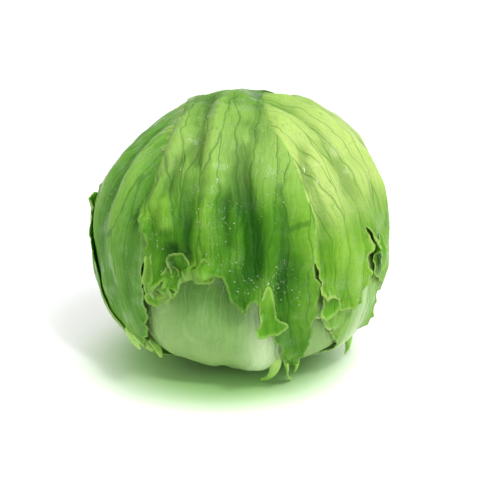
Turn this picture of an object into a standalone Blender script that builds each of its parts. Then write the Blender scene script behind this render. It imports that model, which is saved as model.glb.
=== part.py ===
"""A head of iceberg lettuce, standing on its cut stem, as separate solids.

The head comes apart as it would on a board: a cut stem, a packed heart on top of it, inner leaves
wrapped round the heart one over another, pale head leaves, and green wrapper leaves outside.
Every leaf grows from the side of the stem, runs up one side of the head and folds over the crown.

Metres, +Z up. The origin is the centre of the stem's cut face, which stands on the table.
The head's front, where the wrapper leaves part over a pale head leaf, faces -Y.
"""

import math
from collections import namedtuple

import bmesh
import bpy
import numpy as np

# ---- Overall sizes of the head
HEAD_WIDTH = 0.152
RISE = 0.0705  # from the widest level up to the crown
DROP = 0.0690  # from the widest level down to the underside
SQUARENESS = 2.15  # 2 is a true ellipse; a little more gives the head its full shoulders

# ---- The stem
STEM_RADIUS = 0.0145
STEM_CONE = 0.0200  # how far the stem's pointed core reaches into the heart
CUT_EDGE = 0.0012  # the bevel round the knife cut
STEM_GAP = 0.0004  # between the stem and the leaves that grow from it
CLASP = 0.8  # how far round the stem a leaf's base goes, as a share of a half turn's sine
HEART_FOOT = 0.90  # where the heart is cut flat over the stem, as a share of the way down to its underside
LEAF_DEPTH = (0.0192, 0.0315, 0.0192)  # a first guess at the leaves over the heart: at its side, crown and foot
FLOOR_GAP = 0.0008  # the lowest leaf hangs this far above the cut face

# ---- The leaves
OUTER_BLADE = 0.0009
OUTER_RIB = 0.0034
WRAPPER_RIB = 0.0024  # the two outermost leaves, which have wilted most
INNER_BLADE = 0.0008
INNER_RIB = 0.0026
RIB_HALF_WIDTH = 0.0075  # of a midrib, at the stem
RIB_FADE = 0.62  # the share of a leaf's length where its midrib has gone
INNER_LEAVES = 6
GOLDEN_ANGLE = 137.5  # degrees from each leaf to the next one up the stem

# ---- How a leaf drapes over the ones beneath it
CLEARANCE = 0.0008  # the least air between two leaves
DRAPE_REACH = math.radians(4.5)  # a leaf bridges steps nearer than this
DRAPE_SOFTENING = 3  # how often its heights are evened out along it
HEART_SAMPLES = 5000  # directions at which the heart's surface is known
FACET_SAMPLES = 7  # points along each edge of a leaf's facets, less one

# ---- Colours, as (red, green, blue)
STEM_WHITE = (0.78, 0.74, 0.56)
HEART_YELLOW = (0.80, 0.84, 0.50)
INNER_GREEN = (0.66, 0.80, 0.42)
HEAD_GREEN = (0.42, 0.62, 0.25)
WRAPPER_GREEN = (0.16, 0.36, 0.06)
WAXY = 0.42  # the roughness of a leaf
CUT_FACE = 0.60  # the roughness of the stem

# A leaf's outline. Places on it are two angles at the head's centre, in degrees: "along" runs from 0 under
# the stem up the midrib, past 90 at the side and 180 at the crown, and "across" is to the midrib's left or
# right. left and right are half widths across, as (along, across) points. tip is the far margin, as points
# (share of the half width, along), from -1 at the right margin to 1 at the left one.
Leaf = namedtuple("Leaf", "name azimuth left right tip blade rib columns rows colour")

HEAD_LEAF_SIDE = ((8, 8), (20, 16), (45, 40), (80, 58), (130, 66), (180, 58), (210, 44))
HEAD_LEAF_TIP = ((-1, 172), (-0.5, 196), (0, 204), (0.5, 196), (1, 172))
HEAD_LEAVES = [
    Leaf(name, azimuth, HEAD_LEAF_SIDE, HEAD_LEAF_SIDE, HEAD_LEAF_TIP, OUTER_BLADE, OUTER_RIB, 10, 15, HEAD_GREEN)
    for name, azimuth in (
        ("head_leaf_back", 95),
        ("head_leaf_left", 190),
        ("head_leaf_right", -28),
        ("head_leaf_front", -80),
    )
]

# The right side leaf is torn away low down, where only its midrib is left, and fans out under a cap leaf.
RIGHT_SIDE_LEAF = Leaf(
    "side_leaf_right",
    -35,
    left=((8, 7), (20, 7), (40, 6), (50, 7), (58, 11), (68, 17), (85, 27), (110, 38), (160, 36)),
    right=((8, 7), (20, 7), (40, 6), (56, 8), (66, 16), (75, 24), (100, 34), (160, 34)),
    tip=((-1, 138), (-0.5, 152), (0, 158), (0.5, 152), (1, 138)),
    blade=OUTER_BLADE, rib=OUTER_RIB, columns=10, rows=12, colour=WRAPPER_GREEN,
)

LEFT_CAP_LEAF = Leaf(
    "cap_leaf_left",
    20,
    left=((8, 8), (20, 14), (60, 28), (120, 38), (180, 48), (240, 52), (290, 44)),
    right=((8, 8), (20, 12), (60, 18), (120, 24), (180, 40), (225, 48), (250, 42), (272, 33), (300, 31)),
    tip=((-1, 292), (-0.85, 303), (-0.5, 311), (0, 311), (0.5, 302), (1, 276)),
    blade=OUTER_BLADE, rib=OUTER_RIB, columns=10, rows=20, colour=WRAPPER_GREEN,
)

RIGHT_CAP_LEAF = Leaf(
    "cap_leaf_right",
    150,
    left=((8, 8), (20, 16), (60, 34), (120, 44), (180, 44), (225, 44), (260, 36), (290, 31)),
    right=((8, 8), (20, 16), (60, 34), (120, 45), (180, 54), (225, 58), (260, 54), (290, 42)),
    tip=((-1, 260), (-0.6, 282), (-0.25, 292), (0, 308), (0.25, 303), (0.5, 290), (0.8, 284), (1, 286)),
    blade=OUTER_BLADE, rib=OUTER_RIB, columns=12, rows=20, colour=WRAPPER_GREEN,
)

FRONT_CAP_LEAF = Leaf(
    "cap_leaf_front",
    84,
    left=((8, 8), (20, 15), (45, 26), (90, 32), (150, 26), (190, 25), (220, 32), (242, 39), (320, 39)),
    right=((8, 8), (20, 15), (45, 24), (90, 26), (150, 12), (180, 9), (212, 16), (240, 30), (275, 34), (320, 33)),
    tip=(
        (-1, 286), (-0.8, 306), (-0.65, 316), (-0.5, 298), (-0.35, 282),
        (-0.2, 281), (0, 270), (0.3, 270), (0.48, 277), (0.64, 266), (1, 244),
    ),
    blade=OUTER_BLADE, rib=OUTER_RIB, columns=11, rows=20, colour=WRAPPER_GREEN,
)

RIGHT_WRAPPER = Leaf(
    "wrapper_leaf_right",
    34,
    left=((8, 8), (20, 16), (45, 34), (80, 48), (120, 50), (160, 40)),
    right=((8, 8), (20, 15), (40, 24), (80, 26), (120, 28), (160, 20)),
    tip=((-1, 80), (-0.5, 96), (0, 112), (0.5, 120), (1, 112)),
    blade=OUTER_BLADE, rib=WRAPPER_RIB, columns=8, rows=11, colour=WRAPPER_GREEN,
)

LEFT_WRAPPER = Leaf(
    "wrapper_leaf_left",
    160,
    left=((8, 8), (20, 18), (37, 36), (60, 36), (80, 31), (97, 26), (150, 24)),
    right=((8, 8), (20, 16), (45, 34), (80, 48), (120, 50), (160, 40)),
    tip=((-1, 108), (-0.5, 112), (0, 106), (0.5, 102), (1, 98)),
    blade=OUTER_BLADE, rib=WRAPPER_RIB, columns=8, rows=11, colour=WRAPPER_GREEN,
)

WRAPPERS = [
    RIGHT_SIDE_LEAF,
    RIGHT_CAP_LEAF,
    LEFT_CAP_LEAF,
    FRONT_CAP_LEAF,
    RIGHT_WRAPPER,
    LEFT_WRAPPER,
]


def inner_leaf(number):
    """One leaf of the tight head: a deep cup that closes over the crown."""
    side = ((8, 8), (20, 15), (45, 36), (80, 52), (130, 60), (180, 54), (220, 40))
    tip = ((-1, 178), (-0.5, 204), (0, 214), (0.5, 204), (1, 178))
    azimuth = 60 + number * GOLDEN_ANGLE
    name = f"inner_leaf_{number:02d}"
    return Leaf(name, azimuth, side, side, tip, INNER_BLADE, INNER_RIB, 8, 13, INNER_GREEN)


# ---------------------------------------------------------------- curves and forms


def smooth_curve(points, x):
    """The value at x of a smooth curve through (place, value) points."""
    places, values = np.array(points, float).T
    slopes = np.gradient(values, places)
    i = np.clip(np.searchsorted(places, x) - 1, 0, len(places) - 2)
    span = places[i + 1] - places[i]
    f = np.clip((x - places[i]) / span, 0, 1)
    rise = f * f * (3 - 2 * f)
    bend = f * (1 - f) * ((1 - f) * slopes[i] - f * slopes[i + 1]) * span
    return values[i] + (values[i + 1] - values[i]) * rise + bend


def evened(grid):
    """Each value of a grid averaged with its four neighbours."""
    wide = np.pad(grid, 1, mode="edge")
    around = wide[:-2, 1:-1] + wide[2:, 1:-1] + wide[1:-1, :-2] + wide[1:-1, 2:]
    return (grid + around / 4) / 2


def form_radius(directions, form):
    """The distance from the centre to a plain head form, given as its (half width, rise, drop)."""
    half_width, rise, drop = form
    level = np.hypot(directions[..., 0], directions[..., 1]) / half_width
    height = directions[..., 2]
    height = np.abs(height) / np.where(height > 0, rise, drop)
    return (level**SQUARENESS + height**SQUARENESS) ** (-1 / SQUARENESS)


def leaf_directions(azimuth, across, along):
    """Unit vectors from the head's centre for two arrays of angles on a leaf, in degrees."""
    turn, across, along = math.radians(azimuth), np.radians(across), np.radians(along)
    out = np.array([math.cos(turn), math.sin(turn), 0.0])
    side = np.array([-math.sin(turn), math.cos(turn), 0.0])
    up = np.array([0.0, 0.0, 1.0])
    middle = np.sin(along)[..., None] * out - np.cos(along)[..., None] * up
    return np.cos(across)[..., None] * middle + np.sin(across)[..., None] * side


def sphere_directions(count):
    """Evenly spread unit vectors, on a spiral round the sphere."""
    number = np.arange(count)
    height = 1 - (2 * number + 1) / count
    turn = number * math.pi * (3 - math.sqrt(5))
    level = np.sqrt(1 - height * height)
    return np.stack([level * np.cos(turn), level * np.sin(turn), height], axis=1)


# ---------------------------------------------------------------- the growing head


class Head:
    """The outer surface that the heart and the leaves laid so far make, as points about the centre."""

    def __init__(self, form):
        self.form = form
        self.directions = sphere_directions(HEART_SAMPLES)
        self.radii = form_radius(self.directions, form)
        self.facets = np.empty((0, 3, 3))

    def drape(self, directions):
        """How far above the plain form a leaf bridges what is under each vertex of its grid."""
        near = self.directions @ directions.reshape(-1, 3).T > math.cos(DRAPE_REACH)
        heights = self.radii - form_radius(self.directions, self.form)
        bridged = np.where(near, heights[:, None], 0.0).max(axis=0).reshape(directions.shape[:-1])
        for _ in range(DRAPE_SOFTENING):
            bridged = evened(bridged)
        return bridged

    def under(self, directions, triangles):
        """Which points lie under a facet of a leaf, the facet, and its corners' shares at each."""
        facet = np.full(len(self.directions), -1)
        shares = np.zeros((len(self.directions), 3))
        for number, inverse in enumerate(np.linalg.inv(directions[triangles])):
            share = self.directions @ inverse
            inside = (share > -1e-6).all(axis=1)
            facet[inside], shares[inside] = number, share[inside]
        covered = facet >= 0
        return covered, triangles[facet[covered]], shares[covered]

    def clear(self, directions, triangles, radii):
        """Lifts a leaf's vertices until they and its flat facets clear everything under them."""
        for inverse in np.linalg.inv(self.facets):
            share = directions @ inverse
            inside = (share > 0).all(axis=1)
            radii[inside] = np.maximum(radii[inside], 1 / share[inside].sum(axis=1) + CLEARANCE)
        covered, corners, shares = self.under(directions, triangles)
        needed = self.radii[covered] + CLEARANCE
        for share_of_lift in (shares / (shares**2).sum(axis=1, keepdims=True),) * 8 + (np.ones_like(shares),) * 2:
            reached = 1 / (shares / radii[corners]).sum(axis=1)
            lift = np.maximum(needed / reached - 1, 0)[:, None] * share_of_lift
            most = np.zeros(len(radii))
            np.maximum.at(most, corners, lift)
            radii = radii * (1 + most)
        return radii

    def lay(self, directions, triangles, outer_points):
        """Adds a leaf's outer side and forgets what it covers."""
        covered, _, _ = self.under(directions, triangles)
        steps = FACET_SAMPLES
        shares = np.array([(i, j, steps - i - j) for i in range(steps + 1) for j in range(steps + 1 - i)]) / steps
        points = (shares @ outer_points[triangles]).reshape(-1, 3)
        radii = np.linalg.norm(points, axis=1)
        self.directions = np.concatenate([self.directions[~covered], points / radii[:, None]])
        self.radii = np.concatenate([self.radii[~covered], radii])
        self.facets = np.concatenate([self.facets, outer_points[triangles]])


def rib_share(across, share_along, radii):
    """How much of a midrib there is: 1 on its crest at the stem, 0 on the plain blade."""
    fade = np.clip(1 - share_along / RIB_FADE, 0, 1)
    half_width = RIB_HALF_WIDTH * (0.45 + 0.55 * fade)
    return np.sqrt(fade) * np.exp(-((np.radians(across) * radii / half_width) ** 2))


def leaf_grid(leaf, base_angle):
    """The angles across and along, at each vertex of the leaf's grid, and the share of its length.

    base_angle is how far from straight down its base stands, which clasps the stem.
    """
    spread = np.linspace(-1, 1, leaf.columns + 1)
    spread = np.sign(spread) * np.abs(spread) ** 1.2  # closer together near the midrib
    s, t = np.meshgrid(spread, np.linspace(0, 1, leaf.rows + 1))
    end = smooth_curve(leaf.tip, s)
    clasp = CLASP * base_angle
    sideways = np.sin(s * clasp)
    start = np.arcsin(np.sqrt(np.maximum(np.sin(base_angle) ** 2 - sideways**2, 0)) / np.sqrt(1 - sideways**2))
    along = np.degrees(start) + t * (end - np.degrees(start))
    half = np.where(s > 0, smooth_curve(leaf.left, along), smooth_curve(leaf.right, along))
    across = s * np.maximum(half, np.degrees(clasp))
    return across, along, t


# ---------------------------------------------------------------- objects


def material(name, colour, roughness):
    made = bpy.data.materials.get(name)
    if made is None:
        made = bpy.data.materials.new(name)
        made.use_nodes = True
        shader = made.node_tree.nodes["Principled BSDF"]
        shader.inputs["Base Color"].default_value = (*colour, 1.0)
        shader.inputs["Roughness"].default_value = roughness
        shader.inputs["Metallic"].default_value = 0.0
    return made


def place(obj, collection, colour_name, colour, roughness):
    """Puts the object in the lettuce's collection with its own material."""
    collection.objects.link(obj)
    obj.data.materials.append(material(colour_name, colour, roughness))


def grid_mesh(columns, rows):
    """A triangulated grid whose vertices are numbered along each row, and its triangles."""
    bm = bmesh.new()
    bmesh.ops.create_grid(bm, x_segments=columns, y_segments=rows, size=1.0)
    for vertex in bm.verts:
        column = round((vertex.co.x + 1) / 2 * columns)
        row = round((vertex.co.y + 1) / 2 * rows)
        vertex.index = row * (columns + 1) + column
    bm.verts.sort()
    bmesh.ops.triangulate(bm, faces=bm.faces)
    triangles = np.array([[vertex.index for vertex in face.verts] for face in bm.faces])
    return bm, triangles


def outer_side(obj, count):
    """The outer half of a leaf's vertices, as Solidify makes them."""
    graph = bpy.context.evaluated_depsgraph_get()
    mesh = obj.evaluated_get(graph).data
    points = np.empty(len(mesh.vertices) * 3)
    mesh.vertices.foreach_get("co", points)
    halves = points.reshape(2, count, 3)
    distance = np.linalg.norm(halves, axis=2)
    return np.where((distance[0] > distance[1])[:, None], halves[0], halves[1])


def build_leaf(leaf, head, collection):
    """One leaf: a bent grid that Solidify thickens, most along the midrib."""
    bm, triangles = grid_mesh(leaf.columns, leaf.rows)
    mesh = bpy.data.meshes.new(leaf.name)
    bm.to_mesh(mesh)
    bm.free()
    mesh.shade_smooth()
    obj = bpy.data.objects.new(leaf.name, mesh)
    group = obj.vertex_groups.new(name="midrib")
    wall = obj.modifiers.new("leaf thickness", "SOLIDIFY")
    wall.thickness = leaf.rib
    wall.offset = 1.0
    wall.vertex_group = group.name
    wall.thickness_vertex_group = leaf.blade / leaf.rib
    place(obj, collection, "leaf_" + "_".join(f"{c:.2f}" for c in leaf.colour), leaf.colour, WAXY)

    # The base stands back from the stem until the thick end of the midrib clears it too.
    depth = head.radii[head.directions[:, 2] < -0.9].mean()
    base_angle = math.asin((STEM_RADIUS + STEM_GAP) / depth)
    for _ in range(3):
        across, along, share_along = leaf_grid(leaf, base_angle)
        directions = leaf_directions(leaf.azimuth, across, along)
        heights = head.drape(directions) + CLEARANCE
        flat = directions.reshape(-1, 3)
        plain = form_radius(directions, head.form)
        heights = head.clear(flat, triangles, (plain + heights).reshape(-1)).reshape(plain.shape) - plain
        for _ in range(DRAPE_SOFTENING):
            heights = np.maximum(heights, evened(heights))  # fills pleats without sinking anything
        radii = (plain + heights).reshape(-1)
        points = flat * radii[:, None]
        mesh.vertices.foreach_set("co", points.reshape(-1))
        for index, share in enumerate(rib_share(across, share_along, radii.reshape(across.shape)).reshape(-1)):
            group.add([index], float(share), "REPLACE")
        mesh.update()
        outer = outer_side(obj, len(points))
        low = np.concatenate([points, outer])
        low = low[low[:, 2] < 0]
        missing = STEM_RADIUS + STEM_GAP - np.hypot(low[:, 0], low[:, 1]).min()
        base_angle += missing / depth
    head.lay(flat, triangles, outer)
    return obj


def turned(name, profile, steps):
    """A round solid from a profile of (radius, height) points that runs down its outer side."""
    mesh = bpy.data.meshes.new(name)
    edges = [(i, i + 1) for i in range(len(profile) - 1)]
    mesh.from_pydata([(radius, 0.0, height) for radius, height in profile], edges, [])
    obj = bpy.data.objects.new(name, mesh)
    screw = obj.modifiers.new("turn", "SCREW")
    screw.steps = screw.render_steps = steps
    screw.use_merge_vertices = True
    screw.merge_threshold = 0.00001
    screw.use_smooth_shade = True
    return obj


def build_heart(form, foot, collection):
    """The packed innermost leaves, flat underneath, with a conical socket for the stem's core."""
    profile = [(0.0, form[1])]
    for elevation in np.radians(np.linspace(90, -90, 25)[1:-1]):
        direction = np.array([math.cos(elevation), 0.0, math.sin(elevation)])
        radius = float(form_radius(direction, form))
        point = (radius * direction[0], radius * direction[2])
        if point[1] > foot + STEM_GAP:
            profile.append(point)
    profile.append((STEM_RADIUS + STEM_GAP, foot + STEM_GAP))
    profile.append((0.0, foot + STEM_CONE + 2 * STEM_GAP))
    obj = turned("heart", profile, 32)
    place(obj, collection, "heart_leaves", HEART_YELLOW, WAXY)
    return obj


def build_stem(foot, bottom, collection):
    """The stem: a knife-cut shank that narrows to a point inside the heart."""
    profile = [
        (0.0, foot + STEM_CONE),
        (STEM_RADIUS, foot),
        (STEM_RADIUS, bottom + CUT_EDGE),
        (STEM_RADIUS - CUT_EDGE, bottom),
        (0.0, bottom),
    ]
    obj = turned("stem", profile, 32)
    place(obj, collection, "stem_core", STEM_WHITE, CUT_FACE)
    return obj


def grow(form, collection):
    """The leaves from the heart outwards, and the surface that they make."""
    head = Head(form)
    leaves = [inner_leaf(number) for number in range(1, INNER_LEAVES + 1)] + HEAD_LEAVES + WRAPPERS
    return [build_leaf(leaf, head, collection) for leaf in leaves], head


def heart_form(collection):
    """The heart is as much smaller than the head as the leaves over it need, which a trial shows."""
    overall = np.array([HEAD_WIDTH / 2, RISE, DROP])
    form = overall - LEAF_DEPTH
    leaves, head = grow(form, collection)
    for leaf in leaves:
        mesh = leaf.data
        bpy.data.objects.remove(leaf)
        bpy.data.meshes.remove(mesh)
    points = head.directions * head.radii[:, None]
    low, high = points.min(axis=0), points.max(axis=0)
    reached = np.array([(high[0] - low[0]) / 2, high[2], -low[2]])
    return form + 0.65 * (overall - reached)  # a bigger heart also spreads the leaves over it a little


def build():
    for old in list(bpy.data.objects):
        bpy.data.objects.remove(old)
    collection = bpy.data.collections.new("head_of_lettuce")
    bpy.context.scene.collection.children.link(collection)

    form = heart_form(collection)
    parts, head = grow(form, collection)

    # Everything so far is about the head's centre. The lowest leaf settles how high that is.
    bottom = (head.directions[:, 2] * head.radii).min() - FLOOR_GAP
    foot = STEM_GAP - form[2] * HEART_FOOT
    parts.append(build_heart(form, foot, collection))
    parts.append(build_stem(foot, bottom, collection))
    for obj in parts:
        obj.location.z = -bottom


build()
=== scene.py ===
# %% [markdown]
# # A head of iceberg lettuce, leaf by leaf
# A head of lettuce is a ball of leaves that all grow from one short stem. Each leaf
# climbs one side of the ball, goes over the crown and comes down the other side, so the
# outermost leaves lie on each other like the skins of a parcel. This notebook builds the
# leaves a buyer can see, each one its own thin closed sheet, over a plain solid model.

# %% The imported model
import math

import bpy
import numpy as np
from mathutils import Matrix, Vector


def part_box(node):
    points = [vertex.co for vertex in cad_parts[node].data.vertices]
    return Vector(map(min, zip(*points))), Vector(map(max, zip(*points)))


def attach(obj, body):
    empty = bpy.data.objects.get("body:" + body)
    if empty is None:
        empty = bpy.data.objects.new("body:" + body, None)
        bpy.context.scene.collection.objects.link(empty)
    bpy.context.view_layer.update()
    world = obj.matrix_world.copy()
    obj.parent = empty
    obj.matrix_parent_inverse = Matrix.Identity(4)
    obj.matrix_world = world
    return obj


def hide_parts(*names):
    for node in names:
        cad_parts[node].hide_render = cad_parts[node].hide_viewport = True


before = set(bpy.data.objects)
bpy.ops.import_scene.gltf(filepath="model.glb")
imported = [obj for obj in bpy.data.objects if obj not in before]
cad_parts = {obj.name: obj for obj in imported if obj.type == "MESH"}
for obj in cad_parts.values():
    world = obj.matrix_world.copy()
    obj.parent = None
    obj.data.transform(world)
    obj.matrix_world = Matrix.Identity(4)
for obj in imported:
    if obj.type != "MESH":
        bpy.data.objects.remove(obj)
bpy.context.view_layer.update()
stem_low, stem_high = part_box("stem")
print("its stem:", [round(1000 * (high - low), 1) for low, high in zip(stem_low, stem_high)], "mm")

# %% [markdown]
# ## The plain shape of the head
# The head is close to a ball, but it has settled on its foot: the upper half is round and
# the lower half is fuller and flatter. A superellipsoid says that with five numbers.
# A few broad swellings then tilt it, because no real head grows quite evenly.

# %% Form of the head
CENTRE = np.array([0.0, 0.0, 0.0700])
HALF_WIDTH, RISE, DROP = 0.0785, 0.0715, 0.0692
ROUND_TOP, ROUND_FOOT = 2.0, 2.9
MM = 0.001
# azimuth and height angle in degrees, spread in degrees, millimetres out
SWELLINGS = (
    (0, 48, 28, 3.2),
    (180, 42, 30, -4.0),
    (-15, -28, 22, 1.6),
    (205, -30, 26, -1.4),
)


def unit(azimuth, height):
    turn, lift = math.radians(azimuth), math.radians(height)
    return np.array([math.cos(turn) * math.cos(lift), math.sin(turn) * math.cos(lift), math.sin(lift)])


def form_radius(directions):
    """How far the plain head reaches from its centre along each unit vector."""
    level = np.hypot(directions[..., 0], directions[..., 1]) / HALF_WIDTH
    height = directions[..., 2]
    power = np.where(height > 0, ROUND_TOP, ROUND_FOOT)
    height = np.abs(height) / np.where(height > 0, RISE, DROP)
    radius = (level**power + height**power) ** (-1 / power)
    for azimuth, lift, spread, out in SWELLINGS:
        turned = np.degrees(np.arccos(np.clip(directions @ unit(azimuth, lift), -1, 1)))
        radius = radius + out * MM * np.exp(-((turned / spread) ** 2))
    return radius


print("crown at", round(1000 * float(CENTRE[2] + form_radius(np.array([[0.0, 0.0, 1.0]]))[0]), 1), "mm")

# %% [markdown]
# ## Where a leaf lies
# A leaf is laid out with two angles seen from the middle of the head: `along`, from the
# stem up its own side, over the crown (180) and down the far side, and `across`, to the
# left or right of its midrib. Straight veins then run the way they do on a real leaf.

# %% Leaf directions
def leaf_directions(azimuth, across, along):
    """Unit vectors from the head's centre for two arrays of angles on a leaf, in degrees."""
    turn, across, along = math.radians(azimuth), np.radians(across), np.radians(along)
    out = np.array([math.cos(turn), math.sin(turn), 0.0])
    side = np.array([-math.sin(turn), math.cos(turn), 0.0])
    up = np.array([0.0, 0.0, 1.0])
    middle = np.sin(along)[..., None] * out - np.cos(along)[..., None] * up
    return np.cos(across)[..., None] * middle + np.sin(across)[..., None] * side


def smooth_curve(points, x):
    """The value at x of a smooth curve through (place, value) points."""
    places, values = np.array(points, float).T
    slopes = np.gradient(values, places)
    i = np.clip(np.searchsorted(places, x) - 1, 0, len(places) - 2)
    span = places[i + 1] - places[i]
    f = np.clip((x - places[i]) / span, 0, 1)
    bend = f * (1 - f) * ((1 - f) * slopes[i] - f * slopes[i + 1]) * span
    return values[i] + (values[i + 1] - values[i]) * f * f * (3 - 2 * f) + bend


def ease(low, high, x):
    """0 below low, 1 above high, with a smooth step between them."""
    f = np.clip((x - low) / (high - low), 0, 1)
    return f * f * (3 - 2 * f)


# %% [markdown]
# ## Folds pressed into the whole head
# As the head swells, its outer leaves crease, and a crease goes through every layer at that
# place. So the folds are drawn once, as paths with a height and a width, and each leaf
# reads them. They could be sculpted leaf by leaf, but then the layers would cut each other.

# %% Fold paths
# Each: azimuth of the leaf whose angles place it, height and width in mm, (across, along) points.
FOLDS = (
    (84, 2.6, 4.5, ((15, 178), (19, 198), (21, 220), (24, 234), (28, 247), (29, 257))),
    (84, -2.8, 4.0, ((14, 172), (12, 195), (12, 222), (10, 234))),
    (84, -2.4, 3.4, ((17, 222), (20, 232), (23, 241))),
    (84, 3.0, 4.5, ((3, 172), (6, 196), (6, 222), (5, 236), (7, 248), (8, 264))),
    (84, -4.2, 4.6, ((-3, 214), (-6, 232), (-9, 248), (-11, 264), (-10, 278))),
    (84, -2.4, 4.0, ((0, 236), (-1, 250), (-2, 264))),
    (84, -2.2, 3.0, ((12, 246), (13, 257), (12, 266))),
    (84, 3.4, 4.6, ((22, 240), (21, 248), (20, 256))),
    (84, -2.8, 4.4, ((19, 257), (18, 264), (17, 272))),
    (84, 2.8, 5.0, ((-12, 176), (-17, 204), (-22, 226), (-28, 243), (-32, 262), (-33, 280))),
    (84, -2.0, 3.4, ((-18, 236), (-21, 252), (-21, 270), (-18, 288))),
    (84, -1.8, 3.0, ((-25, 205), (-29, 226), (-31, 240))),
    (84, 1.6, 4.0, ((-15, 256), (-16, 272), (-14, 286))),
    (84, -1.8, 4.0, ((-6, 160), (-8, 190), (-10, 210))),
    (20, -2.2, 4.5, ((-24, 196), (-27, 222), (-26, 246), (-27, 262))),
    (20, 1.8, 6.0, ((-2, 180), (-8, 222), (-13, 246), (-14, 268), (-18, 290))),
    (20, -1.6, 5.0, ((4, 200), (1, 228), (-4, 254), (-4, 282))),
    (20, 1.4, 5.0, ((10, 205), (9, 235), (6, 262), (3, 286))),
    (150, 1.8, 5.0, ((-12, 178), (-8, 205), (-10, 228), (-16, 246), (-18, 264))),
    (150, -2.2, 4.2, ((2, 190), (3, 215), (6, 236), (9, 250))),
    (150, 1.8, 5.0, ((10, 196), (14, 224), (17, 244), (21, 264), (24, 282))),
    (150, -1.7, 4.0, ((22, 214), (24, 240), (29, 262), (28, 280))),
    (150, -1.6, 4.5, ((-22, 216), (-24, 244), (-22, 268))),
    (34, 1.8, 6.0, ((6, 30), (12, 70), (16, 110))),
    (34, -1.8, 5.0, ((-10, 50), (-16, 84), (-14, 120))),
    (84, 1.8, 6.0, ((-16, 40), (-18, 80), (-12, 120), (-10, 150))),
    (84, -1.6, 5.0, ((14, 50), (20, 90), (22, 130))),
    (160, 1.6, 6.0, ((18, 40), (20, 80), (14, 110))),
    (20, 1.6, 6.0, ((18, 60), (24, 100), (20, 150))),
    (20, -1.8, 5.0, ((0, 80), (4, 120), (6, 160))),
)


def fold_paths():
    """Each fold as (height, width, unit vectors along its path, fade at each vector)."""
    paths = []
    for azimuth, height, width, points in FOLDS:
        places = np.linspace(0, 1, len(points))
        t = np.linspace(0, 1, 36)
        across = smooth_curve(tuple(zip(places, [p[0] for p in points])), t)
        along = smooth_curve(tuple(zip(places, [p[1] for p in points])), t)
        fade = ease(0, 0.3, t) * ease(0, 0.25, 1 - t)
        paths.append((height * MM, width * MM, leaf_directions(azimuth, across, along), fade))
    return paths


def fold_height(directions, paths):
    """How far the folds push out or in, in metres."""
    flat = directions.reshape(-1, 3)
    total = np.zeros(len(flat))
    for height, width, path, fade in paths:
        mid = path.mean(0) / np.linalg.norm(path.mean(0))
        near = flat @ mid > np.min(path @ mid) - 0.06
        cosine = np.clip(flat[near] @ path.T, -1, 1)
        k = cosine.argmax(1)
        apart = np.arccos(cosine[np.arange(len(k)), k]) * HALF_WIDTH
        total[near] += 1.08 * height * fade[k] * np.exp(-((apart / width) ** 1.7))
    return total.reshape(directions.shape[:-1])


PATHS = fold_paths()
print(len(PATHS), "folds")

# %% [markdown]
# ## Unevenness
# Nothing on a leaf is quite regular. One value-noise function, a smooth surface through
# random values on a lattice, serves for blisters, wavy margins and uneven outlines. It has
# its own fixed numbers, so the head comes out the same each time.

# %% Noise
def noise(points, size, seed):
    """Smooth noise from -1 to 1 at points of any number of columns, with features of this size."""
    scaled = np.asarray(points, float) / size
    cell = np.floor(scaled).astype(np.int64)
    f = scaled - cell
    f = f * f * f * (f * (f * 6 - 15) + 10)
    dims = scaled.shape[-1]
    total = np.zeros(scaled.shape[:-1])
    for corner in range(2**dims):
        weight = np.ones_like(total)
        number = np.full(total.shape, seed * 7919 + 17, np.int64)
        for axis in range(dims):
            step = (corner >> axis) & 1
            weight = weight * (f[..., axis] if step else 1 - f[..., axis])
            number = (number * 1103515245 + (cell[..., axis] + step) * 12345 + 1013904223) & 0x7FFFFFFF
            number = (number ^ (number >> 13)) & 0x7FFFFFFF
        total += weight * ((number * 1664525 + 1013904223 & 0x7FFFFFFF) / 0x3FFFFFFF - 1)
    return total


sample = noise(np.random.default_rng(1).random((4000, 2)) * 50, 1.0, 3)
print("noise runs from", round(float(sample.min()), 2), "to", round(float(sample.max()), 2))

# %% [markdown]
# ## The outline of a leaf
# A torn leaf has lobes, slits and teeth, which a stretched grid can't follow without
# shearing. So the outline is its own closed line of (across, along) points, cut round its
# corners, made ragged by noise along its length, and used like a pair of scissors later.

# %% Outlines
OUTLINE_STEP = 0.35  # degrees between two points of an outline
MM_PER_DEGREE = 1.33  # along the skin of the head
CORNER_CUTS = 2


def half_width(margin, along):
    """Half a leaf's width on one side, which keeps its last value past the margin's end."""
    return smooth_curve(margin, np.minimum(along, margin[-1][0]))


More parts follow.
